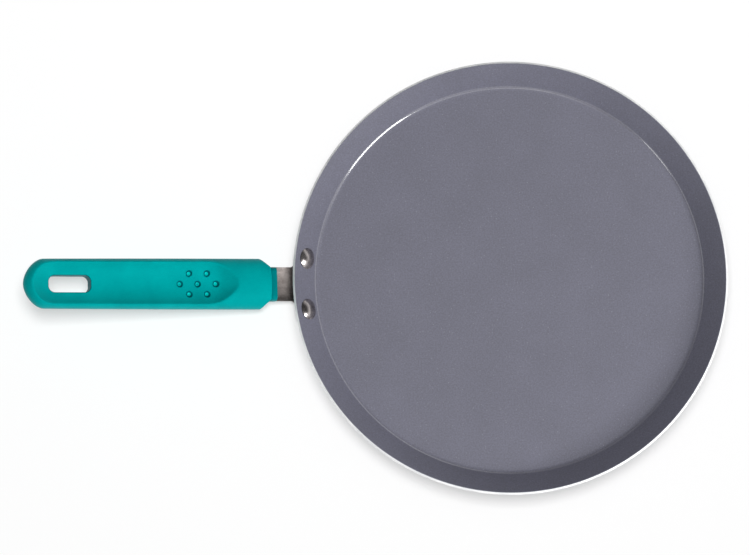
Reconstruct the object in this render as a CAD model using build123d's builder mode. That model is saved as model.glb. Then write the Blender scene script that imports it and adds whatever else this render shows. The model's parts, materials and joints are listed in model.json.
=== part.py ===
from build123d import *
import os
from math import asin, cos, degrees, radians, sin, sqrt, tan

# Crepe pan: a coated pressed body, a riveted steel bracket and a moulded handle.
# Lengths are millimetres and angles are degrees. The origin is the centre of the base on
# the resting plane, +Z is up and the handle points along -X. Left and right are those of
# the cook who holds the handle.

# Pan body
rim_diameter = 260.0
inner_depth = 15.0
wall_thickness = 2.0
base_thickness = 2.6
wall_slope = 50.0
fold_radius = 4.0
rim_rounding = 0.45

# Turned rings under the base
ring_count = 9
ring_first_radius = 18.0
ring_edge_margin = 8.0
ring_width = 1.2
ring_depth = 0.3

# Rivets
rivet_spacing = 30.4
rivet_below_rim = 10.2
rivet_shank_diameter = 5.0
rivet_head_diameter = 12.4
rivet_head_height = 2.5
rivet_head_edge = 0.35
rivet_tail_diameter = 8.6
rivet_tail_height = 1.8
rivet_tail_rounding = 0.7

# Handle bracket
handle_slope = 17.5
plate_thickness = 2.0
plate_height = 14.0
plate_end_margin = 7.5
plate_corner_radius = 4.5
neck_width = 20.3
neck_thickness = 2.0
neck_gutter_depth = 2.0
neck_flare = 4.0
neck_flare_length = 7.0
neck_reach = 14.6
tang_width = 14.0
tang_length = 30.0
tang_corner_radius = 3.0
tang_clearance = 0.15

# Collar between the neck and the grip
collar_length = 4.8
collar_width = 20.4
collar_height = 9.6
collar_corner_radius = 3.2
collar_groove_width = 1.0
collar_groove_depth = 0.8
collar_spigot_length = 3.0
collar_spigot_wall = 1.3
collar_clearance = 0.15
collar_rounding = 0.35

# Grip
grip_length = 148.7
grip_width = 30.4
grip_crown = 8.6
grip_belly = 9.5
grip_tip_length = 12.0
grip_shoulder_length = 2.65
grip_shoulder_drop = 5.5
grip_shoulder_radius = 1.2
grip_station_shares = (0.0, 0.5, 1.0)
grip_width_shares = (1.0, 0.995, 0.97)
grip_belly_shares = (0.84, 1.0, 0.82)
tip_sweep_shares = (0.0, 0.25, 0.5, 0.75, 0.95)
tip_fullness = 1.7

# Trough along the top of the grip
trough_width = 25.0
trough_depth = 5.2
trough_pan_end = 20.0
trough_tip_margin = 4.5
trough_end_slope = 35.0
trough_end_radius = 18.0

# Dimples in the trough
dimple_diameter = 4.0
dimple_depth = 1.1
dimple_pitch = 10.9
dimple_row_spacing = 6.1
dimple_centre = 43.35

# Hanging slot
slot_length = 25.3
slot_width = 10.0
slot_corner_radius = 3.9
slot_from_tip = 15.35
slot_lip_rounding = 0.8

# Screw and lock washer
screw_diameter = 4.0
screw_length = 10.0
screw_head_diameter = 7.4
screw_head_height = 2.3
screw_head_rounding = 0.9
screw_end_chamfer = 0.5
screw_recess_width = 1.1
screw_recess_length = 4.0
screw_recess_depth = 1.4
screw_from_grip_end = 12.0
screw_seat_wall = 1.6
screw_clearance = 0.2
screw_thread_clearance = 0.05
screw_bore_spare = 0.6
counterbore_clearance = 0.5
washer_thickness = 1.0
washer_outer_diameter = 7.2
washer_split = 0.8
washer_clearance = 0.15

# Every cutting tool runs this far past the faces that it cuts
cut_overrun = 1.0

# Directions and places on the wall
up_wall = Vector(cos(radians(wall_slope)), 0, sin(radians(wall_slope)))
out_wall = Vector(sin(radians(wall_slope)), 0, -cos(radians(wall_slope)))
rim_radius = rim_diameter / 2
rim_outer = Vector(rim_radius, 0, base_thickness + inner_depth - wall_thickness * -out_wall.Z)
rim_inner = rim_outer - out_wall * wall_thickness
outer_corner_radius = rim_outer.X - rim_outer.Z / tan(radians(wall_slope))
inner_corner_radius = rim_inner.X - inner_depth / tan(radians(wall_slope))
outer_fold_radius = fold_radius + wall_thickness
base_flat_radius = outer_corner_radius - outer_fold_radius * tan(radians(wall_slope / 2))

# Each rivet is square to the wall, at its own angle round the pan
rivet_point = rim_inner - up_wall * rivet_below_rim
rivet_turn = degrees(asin(rivet_spacing / 2 / rivet_point.X))
left_rivet_angle = 180 - rivet_turn
right_rivet_angle = 180 + rivet_turn

# The handle's axis leaves the middle of the riveting plate, level with the rivets
bracket_root = rivet_point + out_wall * (wall_thickness + plate_thickness / 2)
grip_end_radius = rim_radius + neck_reach
grip_end_height = bracket_root.Z + (grip_end_radius - bracket_root.X) * tan(radians(handle_slope))
handle_plane = Plane(
    origin=(-grip_end_radius, 0, grip_end_height),
    x_dir=(-cos(radians(handle_slope)), 0, sin(radians(handle_slope))),
    z_dir=(sin(radians(handle_slope)), 0, cos(radians(handle_slope))),
)
handle_plane_axis = Axis(handle_plane.origin, handle_plane.z_dir)
root_station = -(grip_end_radius - bracket_root.X) / cos(radians(handle_slope))
gutter_radius = ((neck_width / 2) ** 2 + neck_gutter_depth**2) / (2 * neck_gutter_depth)


def wall_point(place, turn):
    """Turn a point of the XZ half plane about the pan's axis."""
    return Vector(place.X * cos(radians(turn)), place.X * sin(radians(turn)), place.Z)


def radial_plane(turn):
    """Upright plane through the pan's axis: its x runs outwards and its y runs up."""
    return Plane(
        origin=(0, 0, 0),
        x_dir=(cos(radians(turn)), sin(radians(turn)), 0),
        z_dir=(sin(radians(turn)), -cos(radians(turn)), 0),
    )


def rivet_plane(turn):
    """Plane on the inside of the wall at a rivet: its z points into the pan."""
    return Plane(
        origin=wall_point(rivet_point, turn),
        x_dir=(-sin(radians(turn)), cos(radians(turn)), 0),
        z_dir=-wall_point(out_wall, turn),
    )


def on_handle(along, across, up):
    """Place on the handle, measured from the pan end of the grip."""
    return handle_plane.location * Location((along, across, up))


def cross_plane(station):
    """Plane across the handle: its x runs across and its y runs up."""
    return Plane(
        origin=on_handle(station, 0, 0).position,
        x_dir=handle_plane.y_dir,
        z_dir=handle_plane.x_dir,
    )


def long_plane():
    """Plane along the handle's middle: its x runs outwards and its y runs up."""
    return Plane(origin=handle_plane.origin, x_dir=handle_plane.x_dir, z_dir=-handle_plane.y_dir)


def below_plane(station, up):
    """Plane that looks at the handle from below: its z points down."""
    return Plane(
        origin=on_handle(station, 0, up).position,
        x_dir=handle_plane.x_dir,
        z_dir=-handle_plane.z_dir,
    )


def gutter_outline(width, thickness, spare):
    """Section of the bracket's strip, curved down in the middle, with spare all round."""
    edge = width / 2 + spare
    top = thickness / 2 + spare
    sag = gutter_radius - sqrt(gutter_radius**2 - edge**2)
    floor = -neck_gutter_depth
    ThreePointArc((-edge, floor + sag + top), (0, floor + top), (edge, floor + sag + top))
    Line((edge, floor + sag + top), (edge, floor + sag - top))
    ThreePointArc((edge, floor + sag - top), (0, floor - top), (-edge, floor + sag - top))
    Line((-edge, floor + sag - top), (-edge, floor + sag + top))


# Pan body: one pressed and folded dish with its rim cut square to the wall
with BuildPart() as pan_body:
    with BuildSketch(Plane.XZ) as dish_section:
        with BuildLine():
            Polyline(
                (0, 0),
                (outer_corner_radius, 0),
                (rim_outer.X, rim_outer.Z),
                (rim_inner.X, rim_inner.Z),
                (inner_corner_radius, base_thickness),
                (0, base_thickness),
                close=True,
            )
        make_face()
        fillet(dish_section.vertices().sort_by(Axis.Y)[-2:], rim_rounding)
        fillet(dish_section.vertices().group_by(Axis.Y)[1].sort_by(Axis.X)[-1], fold_radius)
        fillet(dish_section.vertices().group_by(Axis.Y)[0].sort_by(Axis.X)[-1], outer_fold_radius)
    revolve(axis=Axis.Z)
    ring_last_radius = base_flat_radius - ring_edge_margin
    with BuildSketch(Plane.XY) as turned_rings:
        for ring in range(ring_count):
            ring_share = ring / (ring_count - 1)
            ring_radius = ring_first_radius + (ring_last_radius - ring_first_radius) * ring_share
            Circle(ring_radius + ring_width / 2)
            Circle(ring_radius - ring_width / 2, mode=Mode.SUBTRACT)
    extrude(amount=ring_depth, mode=Mode.SUBTRACT)
    for turn in (left_rivet_angle, right_rivet_angle):
        with BuildSketch(rivet_plane(turn)):
            Circle(rivet_shank_diameter / 2)
        extrude(amount=wall_thickness + cut_overrun, both=True, mode=Mode.SUBTRACT)

# Neck and tang: the strip with its gutter, cut to its plan and to the plate's middle
neck_start = root_station - plate_height / 2
with BuildPart() as neck:
    with BuildSketch(cross_plane(neck_start)):
        with BuildLine():
            gutter_outline(neck_width + 2 * neck_flare, neck_thickness, 0)
        make_face()
    extrude(amount=tang_length - neck_start)
    with BuildSketch(handle_plane) as neck_plan:
        with BuildLine():
            Polyline(
                (neck_start, neck_width / 2 + neck_flare),
                (root_station, neck_width / 2 + neck_flare),
                (root_station + neck_flare_length, neck_width / 2),
                (-collar_length, neck_width / 2),
                (-collar_length, tang_width / 2),
                (tang_length, tang_width / 2),
                (tang_length, 0),
                (neck_start, 0),
                close=True,
            )
        make_face()
        tang_corner = neck_plan.vertices().group_by(Axis.X)[-1].sort_by(Axis.Y)[-1]
        fillet(tang_corner, tang_corner_radius)
        mirror(about=Plane.XZ)
    extrude(amount=plate_height, both=True, mode=Mode.INTERSECT)
    with BuildSketch(Plane.XZ):
        with BuildLine():
            low = bracket_root - up_wall * plate_height
            high = bracket_root + up_wall * plate_height
            Polyline((0, low.Z), (low.X, low.Z), (high.X, high.Z), (0, high.Z), close=True)
        make_face()
    revolve(axis=Axis.Z, mode=Mode.SUBTRACT)

# Handle bracket: the riveting plate wrapped round the outside of the wall, with the neck
plate_turn = degrees((rivet_spacing / 2 + plate_end_margin) / bracket_root.X)
with BuildPart() as handle_bracket:
    with BuildSketch(radial_plane(180 - plate_turn)):
        with BuildLine():
            plate_low = rivet_point + out_wall * wall_thickness - up_wall * (plate_height / 2)
            plate_high = plate_low + up_wall * plate_height
            plate_high_out = plate_high + out_wall * plate_thickness
            plate_low_out = plate_low + out_wall * plate_thickness
            Polyline(
                (plate_low.X, plate_low.Z),
                (plate_high.X, plate_high.Z),
                (plate_high_out.X, plate_high_out.Z),
                (plate_low_out.X, plate_low_out.Z),
                close=True,
            )
        make_face()
    revolve(axis=Axis.Z, revolution_arc=2 * plate_turn)
    plate_corners = handle_bracket.edges().filter_by(GeomType.LINE).group_by(SortBy.LENGTH)[0]
    fillet(plate_corners, plate_corner_radius)
    add(neck.part)
    for turn in (left_rivet_angle, right_rivet_angle):
        with BuildSketch(rivet_plane(turn)):
            Circle(rivet_shank_diameter / 2)
        extrude(amount=-(wall_thickness + plate_thickness + cut_overrun), mode=Mode.SUBTRACT)
    with BuildSketch(handle_plane):
        with Locations((screw_from_grip_end, 0)):
            Circle(screw_diameter / 2 + screw_thread_clearance)
    extrude(amount=plate_height, both=True, mode=Mode.SUBTRACT)


def make_rivet(turn):
    """Rivet with a domed head inside the pan, a shank that fills its holes and a formed tail."""
    seat = rivet_plane(turn)
    shank_radius = rivet_shank_diameter / 2
    head_radius = rivet_head_diameter / 2
    tail_radius = rivet_tail_diameter / 2
    head_seat = -wall_thickness / 2
    tail_seat = -wall_thickness - plate_thickness / 2
    tail_end = -wall_thickness - plate_thickness - rivet_tail_height
    with BuildPart() as rivet:
        with BuildSketch(Plane(origin=seat.origin, x_dir=seat.x_dir, z_dir=-seat.y_dir)) as half:
            with BuildLine():
                Polyline(
                    (0, rivet_head_height),
                    (0, tail_end),
                    (tail_radius, tail_end),
                    (tail_radius, tail_seat),
                    (shank_radius, tail_seat),
                    (shank_radius, head_seat),
                    (head_radius, head_seat),
                    (head_radius, rivet_head_edge),
                )
                dome_rise = rivet_head_height - rivet_head_edge
                dome_radius = (head_radius**2 + dome_rise**2) / (2 * dome_rise)
                RadiusArc((head_radius, rivet_head_edge), (0, rivet_head_height), -dome_radius)
            make_face()
            tail_rim = half.vertices().group_by(Axis.Y)[0].sort_by(Axis.X)[-1]
            fillet(tail_rim, rivet_tail_rounding)
        revolve(axis=Axis(seat.origin, seat.z_dir))
        add(pan_body.part, mode=Mode.SUBTRACT)
        add(handle_bracket.part, mode=Mode.SUBTRACT)
    return rivet


rivet_left = make_rivet(left_rivet_angle)
rivet_right = make_rivet(right_rivet_angle)

# Collar: a flange held between the neck's shoulders and the grip, with a spigot in the grip
collar_up = -neck_gutter_depth / 2
spigot_width = collar_width - 2 * collar_spigot_wall
spigot_height = collar_height - 2 * collar_spigot_wall
spigot_corner_radius = collar_corner_radius - collar_spigot_wall
with BuildPart() as handle_collar:
    with BuildSketch(cross_plane(-collar_length)):
        with Locations((0, collar_up)):
            RectangleRounded(collar_width, collar_height, collar_corner_radius)
    extrude(amount=collar_length - collar_groove_width)
    flange_rim = handle_collar.edges().group_by(Axis(handle_plane.origin, handle_plane.x_dir))
    fillet(flange_rim[0] + flange_rim[-1], collar_rounding)
    with BuildSketch(cross_plane(-collar_length)):
        with Locations((0, collar_up)):
            RectangleRounded(
                collar_width - 2 * collar_groove_depth,
                collar_height - 2 * collar_groove_depth,
                collar_corner_radius - collar_groove_depth,
            )
    extrude(amount=collar_length)
    with BuildSketch(cross_plane(0)):
        with Locations((0, collar_up)):
            RectangleRounded(spigot_width, spigot_height, spigot_corner_radius)
    extrude(amount=collar_spigot_length)
    with BuildSketch(cross_plane(-collar_length - cut_overrun)):
        with BuildLine():
            gutter_outline(tang_width, neck_thickness, tang_clearance)
        make_face()
    extrude(
        amount=collar_length + collar_spigot_length + 2 * cut_overrun,
        mode=Mode.SUBTRACT,
    )

# Screw places: the washer's seat lies under the tang, and the head hangs below the washer
tang_under = -neck_gutter_depth - neck_thickness / 2
seat_up = tang_under - tang_clearance - screw_seat_wall
head_up = seat_up - washer_thickness
screw_end_up = head_up + screw_length
screw_axis = Axis(on_handle(screw_from_grip_end, 0, 0).position, handle_plane.z_dir)

# Grip: a lofted oval bar that is deepest in the palm and closes in a slightly pointed tip
straight_length = grip_length - grip_tip_length
tip_half_width = grip_width / 2 * grip_width_shares[-1]
tip_belly = grip_belly * grip_belly_shares[-1]


def oval_section(station, half_width, crown, belly):
    """Section across the grip: half an ellipse above its widest line and half of one below."""
    with BuildSketch(cross_plane(station)) as oval:
        with BuildLine():
            EllipticalCenterArc((0, 0), half_width, crown, start_angle=0, arc_size=180)
            EllipticalCenterArc((0, 0), half_width, belly, start_angle=180, arc_size=180)
        make_face()
    return oval.sketch


bar_sections = [
    oval_section(straight_length * share, grip_width / 2 * width, grip_crown, grip_belly * belly)
    for share, width, belly in zip(grip_station_shares, grip_width_shares, grip_belly_shares)
]
tip_sections = []
for share in tip_sweep_shares:
    station = straight_length + grip_tip_length * sin(radians(90 * share)) ** (2 / tip_fullness)
    drawn_in = cos(radians(90 * share)) ** (2 / tip_fullness)
    tip_sections.append(
        oval_section(station, tip_half_width * drawn_in, grip_crown * drawn_in, tip_belly * drawn_in)
    )
with BuildPart() as handle_grip:
    loft(bar_sections)
    loft(tip_sections)

    # The pan end is cut to its plan, with a cut-off corner on each side
    end_half_width = grip_width / 2 - grip_shoulder_drop
    with BuildSketch(handle_plane) as grip_plan:
        with BuildLine():
            Polyline(
                (0, 0),
                (0, end_half_width),
                (grip_shoulder_length * 2, end_half_width + grip_shoulder_drop * 2),
                (grip_length + cut_overrun, end_half_width + grip_shoulder_drop * 2),
                (grip_length + cut_overrun, 0),
                close=True,
            )
        make_face()
        shoulder_corner = grip_plan.vertices().group_by(Axis.X)[0].sort_by(Axis.Y)[-1]
        fillet(shoulder_corner, grip_shoulder_radius)
        mirror(about=Plane.XZ)
    extrude(amount=grip_crown + grip_belly, both=True, mode=Mode.INTERSECT)

    # The trough is turned about an axis above the grip, with a sloped and blended end each way
    crest_up = grip_crown * sqrt(1 - (trough_width / grip_width) ** 2)
    trough_radius = ((trough_width / 2) ** 2 + trough_depth**2) / (2 * trough_depth)
    trough_floor_up = crest_up - trough_depth
    trough_axis_up = trough_floor_up + trough_radius
    tip_share = 1 - trough_tip_margin / grip_tip_length
    tip_crest_up = grip_crown * (1 - tip_share**tip_fullness) ** (1 / tip_fullness)
    end_run = tan(radians(trough_end_slope))
    trough_start = trough_pan_end + (grip_crown - trough_floor_up) / end_run
    trough_stop = grip_length - trough_tip_margin - (tip_crest_up - trough_floor_up) / end_run
    trough_axis = Axis(on_handle(0, 0, trough_axis_up).position, handle_plane.x_dir)
    with BuildSketch(long_plane()) as trough_half:
        with BuildLine():
            Polyline(
                (trough_start - trough_radius / end_run, trough_axis_up),
                (trough_start, trough_floor_up),
                (trough_stop, trough_floor_up),
                (trough_stop + trough_radius / end_run, trough_axis_up),
                close=True,
            )
        make_face()
        fillet(trough_half.vertices().group_by(Axis.Y)[0], trough_end_radius)
    revolve(axis=trough_axis, mode=Mode.SUBTRACT)

    # Seven dimples in three rows, sunk in the trough's floor and in the blend at its pan end
    blend_stop = trough_start + trough_end_radius * tan(radians(trough_end_slope / 2))
    dimple_radius = ((dimple_diameter / 2) ** 2 + dimple_depth**2) / (2 * dimple_depth)
    dimple_reach = trough_radius + dimple_depth - dimple_radius
    row_lean = degrees(asin(dimple_row_spacing / dimple_reach))
    dimple_places = [(dimple_pitch * step, 0) for step in (-1, 0, 1)]
    for side in (-row_lean, row_lean):
        dimple_places += [(dimple_pitch * step, side) for step in (-0.5, 0.5)]
    for along, lean in dimple_places:
        blend_reach = max(blend_stop - dimple_centre - along, 0)
        blend_rise = trough_end_radius - sqrt(trough_end_radius**2 - blend_reach**2)
        across = dimple_reach * sin(radians(lean))
        up = trough_axis_up - dimple_reach * cos(radians(lean)) + blend_rise
        with Locations(on_handle(dimple_centre + along, across, up)):
            Sphere(dimple_radius, mode=Mode.SUBTRACT)

    # Hanging slot through the tip
    slot_middle = grip_length - slot_from_tip - slot_length / 2
    with BuildSketch(handle_plane):
        with Locations((slot_middle, 0)):
            RectangleRounded(slot_length, slot_width, slot_corner_radius)
    extrude(amount=grip_crown + grip_belly, both=True, mode=Mode.SUBTRACT)
    slot_edges = handle_grip.edges(Select.LAST).filter_by(handle_plane_axis, reverse=True)
    slot_lips = slot_edges.filter_by(
        lambda edge: abs(edge.center().Y) < slot_width / 2 + slot_lip_rounding
    )
    fillet(slot_lips, slot_lip_rounding)

    # Sockets for the collar's spigot and for the tang
    with BuildSketch(cross_plane(-cut_overrun)):
        with Locations((0, collar_up)):
            RectangleRounded(
                spigot_width + 2 * collar_clearance,
                spigot_height + 2 * collar_clearance,
                spigot_corner_radius + collar_clearance,
            )
    extrude(amount=cut_overrun + collar_spigot_length + collar_clearance, mode=Mode.SUBTRACT)
    with BuildSketch(cross_plane(-cut_overrun)):
        with BuildLine():
            gutter_outline(tang_width, neck_thickness, tang_clearance)
        make_face()
    extrude(amount=cut_overrun + tang_length + tang_clearance, mode=Mode.SUBTRACT)

    # Screw bore with its blind end in the shoulder, and the counterbore for head and washer
    with BuildSketch(below_plane(screw_from_grip_end, seat_up)):
        Circle(screw_diameter / 2 + screw_clearance)
    extrude(amount=-(screw_end_up + screw_bore_spare - seat_up), mode=Mode.SUBTRACT)
    with BuildSketch(below_plane(screw_from_grip_end, seat_up)):
        Circle(screw_head_diameter / 2 + counterbore_clearance)
    extrude(amount=grip_belly, mode=Mode.SUBTRACT)

# Screw: a pan head with a cross recess, and a shank that ends in a chamfer
head_radius = screw_head_diameter / 2
shank_radius = screw_diameter / 2
with BuildPart() as handle_screw:
    with BuildSketch(long_plane()) as screw_half:
        with BuildLine():
            Polyline(
                (screw_from_grip_end, head_up - screw_head_height),
                (screw_from_grip_end + head_radius, head_up - screw_head_height),
                (screw_from_grip_end + head_radius, head_up),
                (screw_from_grip_end + shank_radius, head_up),
                (screw_from_grip_end + shank_radius, screw_end_up),
                (screw_from_grip_end, screw_end_up),
                close=True,
            )
        make_face()
        fillet(screw_half.vertices().group_by(Axis.Y)[0].sort_by(Axis.X)[-1], screw_head_rounding)
        shank_end = screw_half.vertices().group_by(Axis.Y)[-1].sort_by(Axis.X)[-1]
        chamfer(shank_end, screw_end_chamfer)
    revolve(axis=screw_axis)
    with BuildSketch(below_plane(screw_from_grip_end, head_up - screw_head_height)):
        Rectangle(screw_recess_length, screw_recess_width)
        Rectangle(screw_recess_width, screw_recess_length)
    extrude(amount=-screw_recess_depth, mode=Mode.SUBTRACT)

# Lock washer: a split ring between the head and its seat
with BuildPart() as lock_washer:
    with BuildSketch(below_plane(screw_from_grip_end, seat_up)):
        Circle(washer_outer_diameter / 2)
        Circle(shank_radius + washer_clearance, mode=Mode.SUBTRACT)
        with Locations((washer_outer_diameter / 2, 0)):
            Rectangle(washer_outer_diameter, washer_split, mode=Mode.SUBTRACT)
    extrude(amount=washer_thickness)

os.makedirs("parts", exist_ok=True)
pieces = {
    "pan_body": pan_body,
    "rivet_left": rivet_left,
    "rivet_right": rivet_right,
    "handle_bracket": handle_bracket,
    "handle_collar": handle_collar,
    "handle_grip": handle_grip,
    "handle_screw": handle_screw,
    "lock_washer": lock_washer,
}
for name, piece in pieces.items():
    piece.part.label = name
    export_step(piece.part, f"parts/{name}.step")
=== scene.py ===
"""A crepe pan and the studio that it is shown in.

Sizes in the classes are millimetres. Meshes, places and lights are in metres, in the pan's own
frame: the middle of the base is the origin, +Z is up and the handle points along -X.
"""

import json
import logging
from collections.abc import Callable, Iterator, Mapping, Sequence
from contextlib import contextmanager
from dataclasses import dataclass
from enum import Enum
from math import cos, pi, radians, sin, sqrt, tan

import bmesh
import bpy
from mathutils import Matrix, Vector


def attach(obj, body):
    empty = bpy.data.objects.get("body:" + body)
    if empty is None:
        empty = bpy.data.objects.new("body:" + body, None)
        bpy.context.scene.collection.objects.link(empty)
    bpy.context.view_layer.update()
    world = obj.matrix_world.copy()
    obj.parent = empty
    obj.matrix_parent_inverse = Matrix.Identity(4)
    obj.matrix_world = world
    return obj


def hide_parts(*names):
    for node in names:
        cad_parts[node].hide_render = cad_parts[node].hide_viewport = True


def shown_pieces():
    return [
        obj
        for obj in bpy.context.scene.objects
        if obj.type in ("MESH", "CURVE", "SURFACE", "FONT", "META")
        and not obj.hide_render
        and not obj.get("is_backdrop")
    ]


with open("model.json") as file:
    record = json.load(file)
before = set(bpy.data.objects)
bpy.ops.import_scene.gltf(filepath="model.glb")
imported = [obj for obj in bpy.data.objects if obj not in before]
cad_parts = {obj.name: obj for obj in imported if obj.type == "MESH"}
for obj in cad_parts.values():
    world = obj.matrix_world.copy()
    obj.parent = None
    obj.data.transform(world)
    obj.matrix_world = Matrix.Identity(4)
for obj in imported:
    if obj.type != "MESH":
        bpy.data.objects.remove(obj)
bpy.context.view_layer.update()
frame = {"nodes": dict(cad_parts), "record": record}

MM = 0.001
# A place closer than this counts as the same place
HAIR = MM / 100
BODY = "root"
# A noise wanders about this value
NOISE_MIDDLE = 0.5
# A Mix node has inputs and an output for each type of data, and these are the colours' numbers
COLOUR_A, COLOUR_B, MIXED_COLOUR = 6, 7, 2
LOG = logging.getLogger("crepe_pan")

Piece = bpy.types.Object
Material = bpy.types.Material
Tree = bpy.types.NodeTree
Node = bpy.types.Node
Socket = bpy.types.NodeSocket
Profile = list[tuple[float, float]]
Range = tuple[float, float]


class Slot(Enum):
    """Material slots of the part's record for the pieces made here."""

    COATED_ALUMINIUM = "coated_aluminium"
    RIVET_METAL = "rivet_metal"
    BRACKET_STEEL = "bracket_steel"
    HANDLE_PLASTIC = "handle_plastic"


class DishZone(Enum):
    """Zones of the dish, by the number of the material that each is given."""

    INSIDE = 0
    RIM = 1
    OUTSIDE = 2
    BARE_BASE = 3


class GripZone(Enum):
    """Zones of the grip, by the number of the material that each is given."""

    PLAIN = 0
    RECESS = 1
    DIMPLE_MIDDLE = 2


def linear(colour: str) -> tuple[float, float, float, float]:
    """Turn an sRGB colour into linear light.

    Args:
        colour: The colour as "#RRGGBB".

    Returns:
        Red, green, blue and an alpha of 1.
    """
    shares = [int(colour[place : place + 2], 16) / 255 for place in (1, 3, 5)]
    red, green, blue = (
        share / 12.92 if share <= 0.04045 else ((share + 0.055) / 1.055) ** 2.4 for share in shares
    )
    return red, green, blue, 1.0


def per_metre(width: float) -> float:
    """Scale of a pattern whose spots are so many millimetres wide."""
    return 1 / (width * MM)


def grained(width: float, layers: float) -> dict[str, float]:
    """Size and layers of a noise whose spots are so many millimetres wide."""
    return {"Scale": per_metre(width), "Detail": layers}


def between(low: float, high: float) -> dict[str, float]:
    """Limits of the values that a Map Range node takes in."""
    return {"From Min": low, "From Max": high}


def add_node(
    tree: Tree, kind: str, inputs: Mapping[str | int, object] | None = None, **options: object
) -> Node:
    """Add a node with its settings and links.

    Args:
        tree: The material's or the world's node tree.
        kind: The node's type, without the ShaderNode that its name starts with.
        inputs: What each input gets, by its name or number: a socket to join to it, or a constant.
        options: Settings of the node itself.

    Returns:
        The new node.
    """
    node = tree.nodes.new(f"ShaderNode{kind}")
    for name, option in options.items():
        setattr(node, name, option)
    for name, source in (inputs or {}).items():
        if isinstance(source, Socket):
            tree.links.new(source, node.inputs[name])
        else:
            node.inputs[name].default_value = source
    return node


def new_material(name: str) -> tuple[Material, Node, Socket]:
    """Start a material.

    Args:
        name: The material's name.

    Returns:
        The material, its surface shader and the object's coordinates in metres.
    """
    material = bpy.data.materials.new(name)
    material.use_nodes = True
    shader = material.node_tree.nodes["Principled BSDF"]
    place = add_node(material.node_tree, "TexCoord")
    return material, shader, place.outputs["Object"]


def distance_from_axis(tree: Tree, place: Socket) -> Socket:
    """Measure how far each point of a piece is from the pan's axis.

    Args:
        tree: The material's node tree.
        place: The object's coordinates.

    Returns:
        The distance in metres.
    """
    flat = add_node(tree, "VectorMath", {0: place, 1: (1, 1, 0)}, operation="MULTIPLY")
    length = add_node(tree, "VectorMath", {0: flat.outputs[0]}, operation="LENGTH")
    return length.outputs["Value"]


@dataclass(frozen=True)
class Finish:
    """What the finishes share: two colours and a roughness that wander with patterns.

    The layers are those of the noise that the roughness follows.
    """

    name: str
    colour: str
    shade_colour: str
    roughness: Range
    metallic: float = 0.0
    layers: float = 3.0
    tint_spread: float = 0.15
    rough_spread: float = 0.2

    def tint(self, tree: Tree, pattern: Socket, middle: float = NOISE_MIDDLE) -> Socket:
        """Blend the finish's two colours by a pattern.

        Args:
            tree: The material's node tree.
            pattern: The pattern.
            middle: The value that it wanders about.

        Returns:
            The blended colour.
        """
        bounds = between(middle - self.tint_spread, middle + self.tint_spread)
        share = add_node(tree, "MapRange", {"Value": pattern} | bounds).outputs[0]
        colours = {COLOUR_A: linear(self.shade_colour), COLOUR_B: linear(self.colour)}
        return add_node(tree, "Mix", {"Factor": share} | colours, data_type="RGBA").outputs[MIXED_COLOUR]

    def finish(self, shader: Node, colour: Socket, grain: Socket, relief: Socket) -> None:
        """Join colour, roughness and relief to the shader.

        Args:
            shader: The material's shader.
            colour: The colour.
            grain: The noise that the roughness follows.
            relief: The bumped normal.
        """
        tree = shader.id_data
        bounds = between(NOISE_MIDDLE - self.rough_spread, NOISE_MIDDLE + self.rough_spread)
        smooth, rough = self.roughness
        mapped = add_node(tree, "MapRange", {"Value": grain, "To Min": smooth, "To Max": rough} | bounds)
        shader.inputs["Metallic"].default_value = self.metallic
        for name, source in (("Base Color", colour), ("Roughness", mapped.outputs[0]), ("Normal", relief)):
            tree.links.new(source, shader.inputs[name])


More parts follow.
